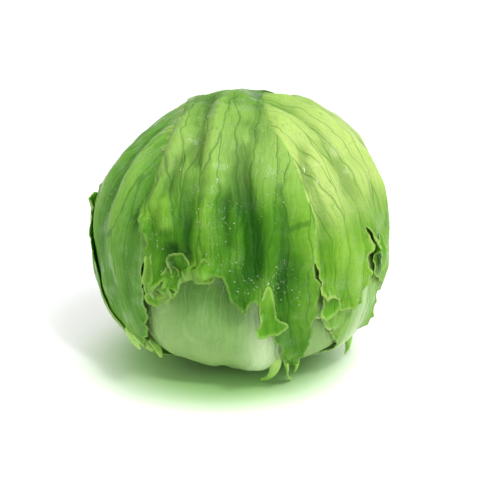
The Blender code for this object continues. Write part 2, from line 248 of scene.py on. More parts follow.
def leaf_outline(left, right, tip, ragged, seed, free):
    """A dense closed outline, as (across, along) rows, from the margins and the tip."""
    halves = {}
    for side, margin in ((1, left), (-1, right)):
        end = np.interp(side, [p[0] for p in tip], [p[1] for p in tip])
        along = np.arange(margin[0][0], end, 1.0)
        halves[side] = np.stack([side * half_width(margin, along), along], -1)
    share, height = np.array(tip[::-1], float).T
    half = np.where(share > 0, half_width(left, height), half_width(right, height))
    line = np.concatenate([halves[1], np.stack([share * half, height], -1), halves[-1][::-1]])
    for _ in range(CORNER_CUTS):
        after = np.roll(line, -1, 0)
        line = np.stack([0.75 * line + 0.25 * after, 0.25 * line + 0.75 * after], 1).reshape(-1, 2)
    closed = np.concatenate([line, line[:1]])
    length = np.concatenate([[0], np.cumsum(np.linalg.norm(np.diff(closed, axis=0), axis=1))])
    even = np.arange(0, length[-1], OUTLINE_STEP)
    line = np.stack([np.interp(even, length, closed[:, k]) for k in (0, 1)], -1)
    run = np.roll(line, -2, 0) - np.roll(line, 2, 0)
    run /= np.maximum(np.linalg.norm(run, axis=1), 1e-9)[:, None]
    outwards = np.stack([run[:, 1], -run[:, 0]], -1)
    place = np.stack([even, even * 0], -1)
    rough = noise(place, 1.7, seed) * 0.45 + noise(place, 4.5, seed + 1) * 0.9
    return line + outwards * (ragged * rough * ease(*free, line[:, 1]))[:, None]


def within(line, across, along):
    """Whether each point lies inside a closed line, by counting the times a ray crosses it."""
    inside = np.zeros(across.shape, bool)
    after = np.roll(line, -1, 0)
    for (x0, y0), (x1, y1) in zip(line, after):
        if y0 == y1:
            continue
        rows = (along > min(y0, y1)) & (along <= max(y0, y1))
        inside ^= rows & (across < x0 + (along - y0) / (y1 - y0) * (x1 - x0))
    return inside


# %% [markdown]
# ## One leaf as a closed sheet
# A leaf starts as a fine even grid on the head. The cells inside its outline are kept, and
# the points left on the rim are moved on to the outline. Then each point goes in by the
# leaf's place in the stack, out or in by the folds, and gets blisters, a midrib, a lifted
# wavy margin and curls. A modifier could thicken the sheet, but here the inner side is laid
# point by point, so that the rib is thick and the margin thin.

# %% Leaf maker
SPARE = 2  # degrees of grid past the outline
ABOVE_FLOOR = 0.0006  # metres
THIN_EDGE, THICKER = 0.45, 0.25  # mm at the margin, and how much more further in
MAP_UNIT = 10  # degrees of leaf to one unit of its map


def kept_cells(inside):
    """Which grid cells lie in the outline, with no two that touch at one corner only."""
    keep = inside
    for _ in range(6):
        wide = np.pad(keep, 1)
        cross = wide[:-1, :-1] & wide[1:, 1:] & ~wide[:-1, 1:] & ~wide[1:, :-1]
        other = wide[:-1, 1:] & wide[1:, :-1] & ~wide[:-1, :-1] & ~wide[1:, 1:]
        if not (cross | other).any():
            break
        grow = wide.copy()
        grow[:-1, 1:] |= cross
        grow[:-1, :-1] |= other
        keep = grow[1:-1, 1:-1]
    return keep


def nearest_margin(directions, margin):
    """The nearest margin point to each direction, and how far off it is, in mm."""
    flat = directions.reshape(-1, 3)
    nearest = np.concatenate([(part @ margin.T).argmax(1) for part in np.array_split(flat, 12)])
    nearest = margin[nearest].reshape(directions.shape)
    return nearest, 1000 * HALF_WIDTH * np.linalg.norm(directions - nearest, axis=-1)


def leaf_grid(left, right, tip, line, columns, rows, rows_power):
    """Grid angles across and along a leaf, the cells kept, the points used, and those on the rim."""
    start, end = left[0][0], max(p[1] for p in tip) + SPARE
    s = np.linspace(-1, 1, columns + 1)
    t = 1 - (1 - np.linspace(0, 1, rows + 1)) ** rows_power
    along = np.broadcast_to((start + t * (end - start))[:, None], (rows + 1, columns + 1)).copy()
    across = s * (np.where(s > 0, half_width(left, along), half_width(right, along)) + SPARE)
    middle = [(grid[:-1, :-1] + grid[1:, 1:] + grid[:-1, 1:] + grid[1:, :-1]) / 4 for grid in (across, along)]
    keep = kept_cells(within(line, *middle))
    # A rim point is one that some, but not all, of its four cells keep.
    cells = np.pad(keep, 1).astype(int)
    around = cells[:-1, :-1] + cells[1:, :-1] + cells[:-1, 1:] + cells[1:, 1:]
    rim = (around > 0) & (around < 4)
    spots = np.stack([across, along], -1)
    away = (spots[rim][:, None, :] - line[None]) ** 2
    spots[rim] = line[away.sum(-1).argmin(1)]
    return spots[..., 0], spots[..., 1], keep, around > 0, rim


def roll_margin(out, curls, across, along, inside, way):
    """Rolls the margin outwards round places on it: the new heights, and how far each point slides."""
    way = way / np.maximum(np.linalg.norm(way, axis=-1), 1e-6)[..., None]
    slide = np.zeros_like(way)
    for (u, v), spread, length, radius in curls:
        weight = np.exp(-(np.hypot(across - u, along - v) / spread) ** 2)
        q = np.clip(length - inside, 0, None) * MM
        bend = np.maximum(weight / (radius * MM), 1e-6)
        slide = slide + way * (np.sin(bend * q) / bend - q)[..., None]
        out = out + (1 - np.cos(bend * q)) / bend
    return out, slide


def outward_normals(points, directions):
    """Unit normals of a grid of points, on the side away from the head's centre."""
    normals = np.cross(np.gradient(points, axis=1), np.gradient(points, axis=0))
    if np.mean((normals * directions).sum(-1)) < 0:
        normals = -normals
    return normals / np.maximum(np.linalg.norm(normals, axis=-1), 1e-12)[..., None]


# Places and spreads are in degrees, the rest in mm. A margin is a row of (along, half width),
# a tip of (share of the width, along) and a depth of (along, mm in). `free` is where along the
# leaf its margin comes loose. `calm` holds (place, spread) where it stays flat, `swell` holds
# (place, spread, mm out), and `curls` holds (place, spread, length, radius).
def leaf_piece(
    name, azimuth, left, right, tip, depth, finish, columns=120, rows=150, seed=1, ragged=1.2,
    blister=0.26, ruffle=1.4, lift=0.8, reach=9.0, rib=2.2, rib_width=6.0, rib_end=170,
    curls=(), rows_power=1.0, swell=(), free=(60, 110), calm=(),
):
    line = leaf_outline(left, right, tip, ragged, seed, free)
    across, along, keep, used, rim = leaf_grid(left, right, tip, line, columns, rows, rows_power)
    spots = np.stack([across, along], -1)
    directions = leaf_directions(azimuth, across, along)
    nearest, inside = nearest_margin(directions, leaf_directions(azimuth, line[:, 0], line[:, 1]))
    inside = np.where(rim, 0, inside)
    # The unevenness that all layers share comes from the direction, the leaf's own from its angles.
    broad = 1.3 * noise(directions * (1, 1, 0.32) + 9, 0.16, 6)
    small = 0.5 * noise(directions * (1, 1, 0.4) + 9, 0.07, 7)
    folds = fold_height(directions, PATHS) + MM * (broad + small)
    veined = np.stack([across / 4.5 + 50, along / 16 + 50], -1)
    blisters = noise(veined, 1.0, seed + 4) * 0.9 + noise(spots + 90, 2.4, seed + 5) * 0.4
    wave = noise(nearest * 60 + 90, 4.6, seed + 7) + 0.7 * noise(nearest * 60 + 90, 2.2, seed + 8)
    loose = np.clip(1 - inside / reach, 0, 1) ** 1.6 * ease(*free, along)
    for (u, v), spread in calm:
        loose = loose * (1 - 0.85 * np.exp(-((np.hypot(across - u, along - v) / spread) ** 4)))
    ribbing = np.exp(-((across * 1.3 / rib_width) ** 2)) * (1 - ease(30, rib_end, along))
    out = folds + MM * (blister * blisters + ruffle * wave * loose + lift * loose + rib * ribbing)
    for (u, v), spread, amount in swell:
        out = out + MM * amount * np.exp(-((np.hypot(across - u, along - v) / spread) ** 2))
    out = out - MM * smooth_curve(depth, along)
    out, slide = roll_margin(out, curls, across, along, inside, nearest - directions)
    points = CENTRE + directions * (form_radius(directions) + out)[..., None] + slide
    points[..., 2] = np.maximum(points[..., 2], ABOVE_FLOOR)
    thick = MM * (THIN_EDGE + THICKER * np.clip(inside / 6, 0, 1) + 0.8 * rib * ribbing)
    inner = points - outward_normals(points, directions) * thick[..., None]
    piece = sheet_mesh(name, points, inner, keep, directions)
    marks = {
        # crease: fold height, which the leaf finish turns into painted shade in creases and a painted
        # highlight on ridges
        "crease": np.clip(0.5 + (folds * 1000 + blister * blisters) / 8, 0, 1),
        "inside": inside + 3 * (1 - ease(*free, along)),
        "along": along,
        "rib": ribbing,
    }
    add_marks(piece, spots / MAP_UNIT, marks, used)
    piece.data.materials.append(finish)
    piece.data.polygons.foreach_set("use_smooth", [True] * len(piece.data.polygons))
    margin_mm = OUTLINE_STEP * len(line) * MM_PER_DEGREE
    print(f"{name}: {4 * keep.sum()} triangles, margin {margin_mm:.0f} mm long")
    return piece


def sheet_mesh(name, outer, inner, keep, directions):
    """A closed shell between two grids of points, over the kept cells, joined round their rim."""
    rows, columns = outer.shape[:2]
    number = np.arange(rows * columns).reshape(rows, columns)
    quads = np.stack([number[:-1, :-1], number[:-1, 1:], number[1:, 1:], number[1:, :-1]], -1)[keep]
    edges = np.concatenate([quads[:, [k, (k + 1) % 4]] for k in range(4)])
    low, high = edges.min(1), edges.max(1)
    _, first, count = np.unique(low * rows * columns + high, return_index=True, return_counts=True)
    rim = edges[first[count == 1]]
    shift = rows * columns
    wall = np.stack([rim[:, 1], rim[:, 0], rim[:, 0] + shift, rim[:, 1] + shift], -1)
    faces = np.concatenate([quads, quads[:, ::-1] + shift, wall])
    flat = outer.reshape(-1, 3)
    a, b, c = (flat[quads[:, k]] for k in (0, 1, 2))
    if np.mean((np.cross(b - a, c - a) * directions.reshape(-1, 3)[quads[:, 0]]).sum(-1)) < 0:
        faces = faces[:, ::-1]
    used, faces = np.unique(faces, return_inverse=True)
    faces = faces.reshape(-1, 4)
    places = np.concatenate([flat, inner.reshape(-1, 3)])[used]
    mesh = bpy.data.meshes.new(name)
    mesh.from_pydata(places.tolist(), [], faces.tolist())
    mesh.update()
    piece = bpy.data.objects.new(name, mesh)
    bpy.context.collection.objects.link(piece)
    return piece


def add_marks(piece, share, marks, used):
    """What the finishes read: a UV map along the leaf and a few values at each point."""
    mesh = piece.data
    marks = dict(marks, outer=np.ones(used.shape))
    for mark, values in marks.items():
        half = values[used]
        both = np.concatenate([half, half * (0 if mark == "outer" else 1)])
        mesh.attributes.new(mark, "FLOAT", "POINT").data.foreach_set("value", both.astype(np.float32))
    both = np.concatenate([share[used]] * 2)
    corners = np.empty(len(mesh.loops), np.int32)
    mesh.loops.foreach_get("vertex_index", corners)
    layer = mesh.uv_layers.new(name="leaf")
    layer.data.foreach_set("uv", both[corners].astype(np.float32).ravel())


# %% [markdown]
# ## Writing finishes as sums
# A finish is a small network of nodes. Wiring it by hand hides what it works out, so one
# class wraps a socket and lets Python's own signs make the Math nodes: `1 - mask` is a node.

# %% Finish maker
def socket_of(node, key):
    """A node's input by its number, or the one in use that has this name."""
    if isinstance(key, int):
        return node.inputs[key]
    return next(s for s in node.inputs if s.name == key and s.enabled)


class Wire:
    """A shader value that takes part in Python expressions."""

    def __init__(self, finish, socket):
        self.finish, self.socket = finish, socket

    def __add__(self, other):
        return self.finish.maths("ADD", self, other)

    def __sub__(self, other):
        return self.finish.maths("SUBTRACT", self, other)

    def __rsub__(self, other):
        return self.finish.maths("SUBTRACT", other, self)

    def __mul__(self, other):
        return self.finish.maths("MULTIPLY", self, other)

    __radd__, __rmul__ = __add__, __mul__


class Finish:
    """A material under construction."""

    def __init__(self, name):
        self.material = bpy.data.materials.new(name)
        self.material.use_nodes = True
        self.tree = self.material.node_tree
        self.tree.nodes.clear()

    def node(self, kind, settings=None, values=None, out=None):
        """Adds a node: its settings first, then the values or links of its sockets."""
        node = self.tree.nodes.new("ShaderNode" + kind)
        for setting, value in (settings or {}).items():
            if setting == "stops":
                ramp = node.color_ramp.elements
                for stop, (place, tint) in ((ramp[0], value[0]), (ramp[-1], value[-1])):
                    stop.position, stop.color = place, tint
                for place, tint in value[1:-1]:
                    ramp.new(place).color = tint
            else:
                setattr(node, setting, value)
        for key, value in (values or {}).items():
            socket = socket_of(node, key)
            if isinstance(value, Wire):
                self.tree.links.new(value.socket, socket)
            else:
                socket.default_value = value
        return Wire(self, next(s for s in node.outputs if s.enabled and out in (None, s.name)))

    def maths(self, operation, first, second=0.0):
        return self.node("Math", {"operation": operation}, {0: first, 1: second})

    def mark(self, name):
        return self.node("Attribute", {"attribute_name": name}, out="Fac")

    def step(self, low, high, value):
        """A smooth step from 0 to 1 as the value goes from low to high."""
        ends = {"Value": value, "From Min": low, "From Max": high}
        return self.node("MapRange", {"interpolation_type": "SMOOTHSTEP"}, ends)

    def mix(self, share, one, other):
        return self.node("Mix", {"data_type": "RGBA"}, {"Factor": share, "A": one, "B": other})

    def stretch(self, place, scale):
        return self.node("Mapping", {}, {"Vector": place, "Scale": scale})

    def noise(self, place, scale, detail=2.0, rough=0.5, space="3D", out="Fac"):
        values = {"Vector": place, "Scale": scale, "Detail": detail, "Roughness": rough}
        return self.node("TexNoise", {"noise_dimensions": space}, values, out=out)

    def net(self, place, scale, space="3D"):
        """How far each place is from the walls of a net of cells."""
        kind = {"voronoi_dimensions": space, "feature": "DISTANCE_TO_EDGE"}
        return self.node("TexVoronoi", kind, {"Vector": place, "Scale": scale}, out="Distance")

    def bump(self, strength, distance, height):
        return self.node("Bump", {}, {"Strength": strength, "Distance": distance, "Height": height})

    def skin(self, values):
        """Ends the material with a principled surface and returns it."""
        surface = self.node("BsdfPrincipled", {}, values, out="BSDF")
        end = self.tree.nodes.new("ShaderNodeOutputMaterial")
        self.tree.links.new(surface.socket, end.inputs["Surface"])
        return self.material


def shade(red, green, blue, depth=1.0):
    """A colour given as its screen values from 0 to 255, made linear for the shader."""
    return tuple(depth * ((c / 255 + 0.055) / 1.055) ** 2.4 for c in (red, green, blue)) + (1.0,)


# %% [markdown]
# ## The leaf finish
# A lettuce leaf is thin, wet-looking and full of veins. Its green is darker in the creases
# as painted shade and paler on the ridges as a painted highlight. It is pale near the midrib
# and at its foot, is painted paler along a lifted margin as a painted highlight, and over
# the crown as painted light. Veins fan out from the base and join in a net of long cells.
# The net is a Voronoi pattern stretched along the leaf, on the leaf's own map, so it bends
# with it. The same net, softened, puffs up the skin between the veins.

# %% Leaf finish
THROUGH = 0.62  # light comes back through the sheet, so its own colours are deeper
RIB_WHITE = shade(216, 234, 192, depth=0.85)
GREEN_GLOW = (0.35, 1.0, 0.12)  # how far red, green and blue spread under the skin


def leaf_finish(name, tints, pale_low, crown=(180, 230, 0.0), veins=0.5):
    """`pale_low` says, in degrees along the leaf, where its foot is pale; `crown` says where its top gets
    painted light, and how much.
    """
    deep, middle, light, pale, vein = (shade(*tint, depth=THROUGH) for tint in tints)
    crown_start, crown_end, crown_amount = crown
    f = Finish(name)
    place = f.node("UVMap", {"uv_map": "leaf"})
    wander = f.noise(place, 0.7, space="2D", out="Color")
    moved = f.node("VectorMath", {"operation": "MULTIPLY_ADD"}, {0: wander, 1: (0.55, 1.1, 0), 2: place})
    long_cells = f.net(f.stretch(moved, (1.5, 0.16, 1)), 1.0, space="2D")
    small_cells = f.net(f.stretch(moved, (4.5, 1.1, 1)), 1.0, space="2D")
    patch = f.noise(place, 0.55, 4.0, 0.6, space="2D")
    streak = f.noise(f.stretch(moved, (7.0, 0.5, 1)), 1.0, 3.0, space="2D")
    grain = f.noise(place, 14.0, space="2D")
    wet = f.step(0.50, 0.68, f.noise(place, 1.1, 3.0, space="2D"))
    crease, inside, along = f.mark("crease"), f.mark("inside"), f.mark("along")
    # Painted shade: the fold height darkens the green in creases and lightens it on ridges, mixed with random
    # patches and streaks.
    crease_shade_and_tone = crease * 1.15 + patch * 0.4 + (streak - 0.5) * 0.35 - 0.22
    stops = ((0.18, deep), (0.5, middle), (0.86, light))
    body = f.node("ValToRGB", {"stops": stops}, {"Fac": crease_shade_and_tone}, out="Color")
    near_base = 1 - f.step(pale_low * 0.45, pale_low * 1.2 + 1.0, along)
    # Painted light: the leaf goes paler over the crown, more so on its ridges, as if lit from above.
    crown_painted_light = f.step(crown_end, crown_start, along) * crown_amount
    crown_painted_light = crown_painted_light * (0.55 + 0.45 * f.step(0.3, 0.6, crease_shade_and_tone)) * (0.35 + 0.65 * f.step(184, 226, along))
    body = f.mix(f.maths("MAXIMUM", near_base, crown_painted_light), body, pale)
    body = f.mix(f.mark("rib") * (0.55 + 0.45 * streak), body, RIB_WHITE)
    line = (1 - f.step(0.010, 0.042, long_cells)) * veins
    hair = (1 - f.step(0.01, 0.06, small_cells)) * (veins * 0.3)
    body = f.mix(f.maths("MAXIMUM", line, hair), body, vein)
    # Painted highlight: the green goes paler within about 1.5 mm of the margin, by a random amount.
    rim = (1 - f.step(0.2, 1.5, inside)) * (0.1 + 0.55 * patch)
    body = f.mix(rim, body, pale)
    pillow = f.step(0.0, 0.12, long_cells) * 0.45 + f.step(0.0, 0.30, small_cells) * 0.3 + streak * 0.3
    beads = f.node(
        "TexVoronoi", {"voronoi_dimensions": "2D", "feature": "SMOOTH_F1"},
        {"Vector": place, "Scale": 11.0, "Smoothness": 0.4}, out="Distance",
    )
    return f.skin({
        "Base Color": body,
        "Roughness": 0.38 + (1 - wet) * 0.16 + grain * 0.06,
        "Normal": f.bump(0.6, 0.0009, pillow + grain * 0.12 - beads * wet * 0.55),
        "Coat Weight": wet * 0.28,
        "Coat Roughness": 0.12,
        "Specular IOR Level": 0.14,
        "Subsurface Weight": 0.2,
        "Subsurface Radius": GREEN_GLOW,
        "Subsurface Scale": 0.004,
    })


# painted shade deep in a crease, middle, painted highlight on a ridge, pale parts (also the painted light on
# crown and margin), veins
FRONT_GREEN = leaf_finish(
    "front_leaf_green", ((36, 96, 0), (72, 136, 8), (120, 176, 48), (160, 200, 98), (40, 98, 6)),
    pale_low=40, crown=(218, 250, 0.8),
)
LEFT_GREEN = leaf_finish(
    "left_leaf_green", ((62, 124, 14), (98, 160, 46), (136, 190, 76), (184, 220, 122), (44, 104, 16)),
    pale_low=40, crown=(180, 225, 0.3),
)
RIGHT_GREEN = leaf_finish(
    "right_leaf_green", ((62, 124, 2), (102, 162, 28), (142, 194, 60), (206, 228, 132), (64, 124, 18)),
    pale_low=40, crown=(240, 264, 0.7),
)
SIDE_GREEN = leaf_finish(
    "side_leaf_green", ((70, 130, 20), (122, 178, 64), (164, 208, 100), (206, 232, 150), (76, 134, 32)),
    pale_low=40,
)
# The inner leaves stay pale further up and turn greener and darker higher up: partly their own colour, partly
# painted shade where the outer leaves overhang them.
HEART_GREEN = leaf_finish(
    "inner_leaf_green", ((56, 112, 22), (96, 154, 56), (136, 186, 92), (176, 214, 134), (172, 210, 132)),
    pale_low=74, veins=0.3,
)
WRAPPER_GREEN = leaf_finish(
    "wrapper_leaf_green", ((56, 116, 4), (90, 156, 22), (132, 188, 54), (190, 222, 126), (56, 116, 14)),
    pale_low=58,
)
print(len(bpy.data.materials), "materials so far")

# %% [markdown]
# ## The inner head
# Where the outer leaves stop, the leaves below them show: pale, smooth, with a thick whitish
# midrib. Four broad ones close the head. They sit 8 to 10 mm in, so that the outer leaves
# throw a shadow on them, except low down, where every leaf turns in to the stem.

# %% Head leaves
SIDE = ((8, 8), (20, 16), (45, 40), (80, 58), (130, 66), (180, 58), (210, 44))
TOP = ((-1, 172), (-0.5, 196), (0, 204), (0.5, 196), (1, 172))
# Each: place, azimuth, how deep it lies in mm low down, at 70 degrees and from 90 degrees on, seed.
HEAD_LEAVES = (
    ("back", 95, 4.5, 9.8, 9.8, 11),
    ("left", 190, 4.5, 9.2, 9.2, 12),
    ("right", -28, 4.5, 8.8, 8.8, 13),
    ("front", -80, 2.4, 6.8, 7.6, 14),
)
pieces = {}
for place, azimuth, low, part_way, deep, seed in HEAD_LEAVES:
    pieces["head_leaf_" + place] = leaf_piece(
        place + "_head_blade", azimuth, SIDE, SIDE, TOP,
        ((8, low), (28, low + 0.4), (48, deep - 2.2), (70, part_way), (90, deep), (200, deep + 0.6)),
        HEART_GREEN, columns=110, rows=110, seed=seed, blister=0.28,
        rib=3.2, rib_width=7.5, rib_end=120,
    )

# %% [markdown]
# ## Side and wrapper leaves
# Wrapper leaves are the oldest: dark, and only part way up the head. The right side leaf has
# lost its lower half, so only the fan above its bare midrib is left, with a torn lip.

# %% Side and wrapper leaves
pieces["side_leaf_right"] = leaf_piece(
    "right_side_blade", -35,
    ((8, 7), (20, 7), (40, 3), (47, 3), (54, 7), (58, 10), (63, 13), (68, 17), (74, 20), (90, 27),
     (110, 38), (160, 36)),
    ((8, 7), (20, 7), (40, 4), (50, 4), (56, 8), (64, 17), (70, 25), (85, 31), (100, 34), (160, 34)),
    ((-1, 138), (-0.5, 152), (0, 158), (0.5, 152), (1, 138)),
    ((8, 4.5), (40, 3.0), (70, 3.0), (100, 5.0), (158, 6.0)),
    SIDE_GREEN, columns=110, rows=150, seed=21, ragged=1.6, ruffle=2.4, reach=8,
    rib=1.8, rib_end=110, free=(45, 62),
)
pieces["wrapper_leaf_right"] = leaf_piece(
    "right_wrapper_blade", 34,
    ((8, 8), (20, 16), (45, 34), (80, 48), (120, 50), (160, 40)),
    ((8, 8), (20, 15), (40, 24), (80, 26), (120, 28), (160, 20)),
    ((-1, 78), (-0.5, 94), (0, 110), (0.5, 120), (1, 112)),
    ((8, 1.6), (60, 0.4), (150, 0.0)),
    WRAPPER_GREEN, columns=120, rows=140, seed=22, ruffle=1.8, lift=0.9,
    rib=2.6, rib_width=7, rib_end=150,
)
pieces["wrapper_leaf_left"] = leaf_piece(
    "left_wrapper_blade", 165,
    ((8, 8), (20, 24), (37, 38), (44, 38.5), (54, 37), (66, 35), (79, 32), (90, 28), (97, 24), (134, 22)),
    ((8, 8), (20, 16), (45, 34), (80, 48), (120, 50), (160, 40)),
    ((-1, 104), (-0.5, 108), (0, 104), (0.4, 102), (0.7, 100), (1, 97)),
    ((8, 1.6), (60, 0.3), (150, 0.0)),
    WRAPPER_GREEN, columns=130, rows=150, seed=23, ragged=1.5, ruffle=1.9, lift=1.0,
    rib=2.6, rib_width=7, rib_end=150,
)

# %% [markdown]
# ## The three cap leaves
# These lie outermost over the crown and make the face of the head. The right one comes down
# the right side and is slit, the left one is smooth and long-veined, and the front one lies
# over both. Its free edge is torn into an arch, with lobes that crumple and curl back.

# %% Cap leaves
pieces["cap_leaf_right"] = leaf_piece(
    "right_cap_blade", 150,
    ((8, 8), (20, 16), (60, 34), (120, 44), (180, 44), (225, 44), (255, 36), (267, 32), (290, 31)),
    ((8, 8), (20, 16), (60, 34), (120, 45), (180, 54), (225, 58), (260, 54), (290, 46)),
    ((-1, 286), (-0.8, 285), (-0.5, 282), (-0.34, 284), (-0.2, 286), (-0.06, 284), (0.03, 276), (0.1, 266),
     (0.16, 258), (0.2, 268), (0.23, 286), (0.3, 289), (0.45, 287), (0.61, 288), (0.7, 284),
     (0.8, 281), (0.92, 285), (1, 270)),
    ((8, 6.6), (90, 5.0), (128, 3.0), (152, 1.8), (190, 1.7), (225, 1.6), (300, 1.5)),
    RIGHT_GREEN, columns=150, rows=230, seed=31, ragged=1.3, ruffle=2.6, lift=0.9, reach=8,
    rows_power=1.3, free=(235, 265),
    curls=(((2, 266), 4, 6, 2.6), ((29, 280), 5, 5, 4)),
    calm=(((-16, 280), 19), ((-45, 275), 26), ((34, 255), 22)),
)
pieces["cap_leaf_left"] = leaf_piece(
    "left_cap_blade", 20,
    ((8, 8), (20, 14), (60, 28), (120, 38), (180, 48), (240, 52), (290, 44)),
    ((8, 8), (20, 12), (60, 14), (120, 12), (150, 12), (180, 24), (205, 42), (225, 48), (250, 42),
     (272, 33), (300, 31)),
    ((-1, 290), (-0.9, 299), (-0.55, 310), (-0.26, 310), (-0.13, 303), (0, 295), (0.15, 287),
     (0.5, 288), (1, 270)),
    ((8, 6.2), (90, 6.4), (155, 5.6), (185, 3.3), (205, 1.8), (240, 1.5), (300, 1.7)),
    LEFT_GREEN, columns=150, rows=220, seed=32, blister=0.22, ruffle=1.2, lift=0.5, reach=8,
    rows_power=1.3, free=(255, 275),
)
pieces["cap_leaf_front"] = leaf_piece(
    "front_cap_blade", 84,
    ((8, 8), (20, 15), (45, 26), (90, 32), (150, 26), (190, 23), (212, 23.5), (222, 25), (234, 28.5),
     (242, 31.5), (320, 31.5)),
    ((8, 8), (20, 15), (45, 24), (90, 26), (150, 12), (165, 8), (180, 9), (204, 13), (212, 16),
     (225, 23), (239, 29), (248, 32), (266, 33), (275, 34), (320, 34)),
    ((-1, 280), (-0.97, 286), (-0.82, 305), (-0.66, 328), (-0.6, 330), (-0.57, 308), (-0.54, 296),
     (-0.41, 292), (-0.36, 279), (-0.33, 277), (-0.24, 284), (-0.12, 278), (-0.06, 273), (0, 270),
     (0.1, 267), (0.18, 270), (0.31, 270), (0.4, 276), (0.5, 279), (0.55, 270), (0.62, 275),
     (0.68, 280), (0.74, 268), (0.8, 262), (0.9, 250), (1, 243)),
    ((8, 3.6), (90, 2.0), (145, 1.0), (172, 1.0), (192, 0.6), (250, 0.4), (285, 0.9), (300, 1.8), (330, 2.4)),
    FRONT_GREEN, columns=180, rows=260, seed=33, ragged=1.0, ruffle=2.3, lift=1.0, reach=8,
    rows_power=1.5, free=(228, 250),
    curls=(((8, 269), 5, 9, 2.8), ((16, 277), 4, 10, 3.2), ((22, 276), 4, 7, 3.5), ((28, 250), 8, 5, 3.0),
           ((-8, 283), 4, 5, 4)),
    calm=(((-32, 256), 20), ((-31, 290), 16)),
)

# %% [markdown]
# ## Small torn lobes
# Along the tear, scraps of leaf are left that curl up like ears and show a bright rim, partly
# a painted highlight of their finish. Each is a small leaf of its own, laid just over the front
# or the right cap leaf, cupped in its middle. They could be more curls of the big leaf, but an
# ear folds back over itself.

# %% Torn lobes
# Each: azimuth, depth, cup in mm, then its margins where `across` is positive and negative.
LOBES = (
    (-111, ((87, -0.5), (98, -3.0)), 1.8,
     ((88, 2), (90, 3.8), (92.5, 5), (95, 4.4), (97.5, 2)),
     ((88, 2), (90, 3.6), (92.5, 4.6), (95.5, 4.2), (97.5, 2))),
    (-114.5, ((81, -2.2), (92, -1.0)), 0.8,
     ((81.5, 0.8), (84, 1.8), (87, 2.8), (90, 4.2), (92, 3)),
     ((81.5, 0.8), (84, 2), (87, 2.8), (90, 2.6), (92, 1.6))),
    (-120.5, ((77, -1.8), (83, -1.6)), 0.9,
     ((78, 1.6), (79.5, 3.4), (81, 3.2), (82.5, 1.6)),
     ((78, 1.6), (79.5, 3.4), (81, 3), (82.5, 1.6))),
    (-123, ((80, -0.6), (96, 0.4)), 0.8,
     ((80.5, 0.8), (85, 2.4), (89, 2.6), (93, 1.7), (96, 0.7)),
     ((80.5, 0.8), (85, 2.2), (89, 2), (93, 1.4), (96, 0.7))),
    (-101.8, ((88, -1.4), (97, -0.2)), -0.8,
     ((88.5, 2.4), (91, 3.8), (94, 2.8), (96.5, 1)),
     ((88.5, 2.4), (91, 3.4), (94, 3), (96.5, 1))),
    (-80, ((68, -1.8), (76, -1.4), (87, 0.3)), 1.2,
     ((69, 2), (70.5, 4.6), (72.5, 6.8), (74.5, 4.4), (78, 2.2), (83, 1.4), (87, 0.8)),
     ((69, 3), (70.5, 3.6), (75, 3.2), (80, 3.2), (84, 2.2), (87, 1))),
    (-27, ((81, 0.6), (88, -1.2), (96, 0.4)), -0.6,
     ((82, 0.8), (84, 3), (87, 2.2), (92, 1.6), (95, 0.6)),
     ((82, 0.8), (85, 1.6), (89, 2.6), (92, 2.2), (95, 0.8))),
    (-57, ((72, -1.2), (81, 0.6)), 1.4,
     ((72.5, 1), (74, 3.4), (78, 4.4), (80.5, 3)),
     ((72.5, 1.4), (75, 4), (78, 2.8), (80.5, 1.6))),
)
lobes = []
for number, (azimuth, depth, cup, left, right) in enumerate(LOBES, 1):
    low, high = left[0][0], left[-1][0]
    lobes.append(leaf_piece(
        f"torn_lobe_{number}", azimuth, left, right, ((-1, high), (0, high + 0.8), (1, high)), depth,
        WRAPPER_GREEN, columns=44, rows=44, seed=50 + number, ragged=0.45, blister=0.3,
        ruffle=1.1, lift=0.5, reach=2.5, rib=0, rib_end=60, free=(20, 30),
        swell=(((0, (low + high) / 2), 3.0, -cup),),
    ))

# %% [markdown]
# ## Stem and heart
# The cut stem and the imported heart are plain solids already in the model, with nothing to
# add to their shape, so they keep it and get their own finish: a pale, fibrous cut face that
# browns a little at its rim, and a faint leafy skin for the leaves that are hidden.

# %% Stem and hidden leaf finishes
def stem_finish():
    f = Finish("cut_stem")
    place = f.node("TexCoord", out="Object")
    fibres = f.noise(f.stretch(place, (900, 900, 60)), 1.0, 3.0)
    blotch = f.noise(place, 180.0, 3.0)
    flat = f.node("VectorMath", {"operation": "MULTIPLY"}, {0: place, 1: (1, 1, 0)})
    out = f.node("VectorMath", {"operation": "LENGTH"}, {0: flat}, out="Value")
    browned = f.step(0.009, 0.0145, out) * f.step(0.35, 0.7, blotch)
    body = f.mix(fibres, shade(214, 222, 172), shade(186, 202, 138))
    return f.skin({
        "Base Color": f.mix(browned * 0.8, body, shade(176, 142, 92)),
        "Roughness": 0.62 - fibres * 0.15,
        "Normal": f.bump(0.5, 0.0006, fibres + blotch * 0.5),
        "Subsurface Weight": 0.2,
        "Subsurface Scale": 0.003,
    })


def hidden_leaf_finish():
    f = Finish("hidden_leaf")
    place = f.node("TexCoord", out="Object")
    veins = f.net(place, 120.0)
    patch = f.noise(place, 40.0, 3.0)
    body = f.mix(patch, shade(150, 188, 104), shade(206, 222, 158))
    return f.skin({
        "Base Color": f.mix((1 - f.step(0.01, 0.06, veins)) * 0.5, body, shade(222, 232, 186)),
        "Roughness": 0.4 + patch * 0.15,
        "Normal": f.bump(0.4, 0.0008, f.step(0, 0.3, veins)),
        "Subsurface Weight": 0.2,
        "Subsurface Scale": 0.003,
    })


STEM, HIDDEN = stem_finish(), hidden_leaf_finish()
for name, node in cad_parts.items():
    if name == "stem" or name == "heart" or name.startswith("inner_leaf"):
        node.data.materials.clear()
        node.data.materials.append(STEM if name == "stem" else HIDDEN)
print("kept as they are, with a finish: stem, heart and inner leaves")
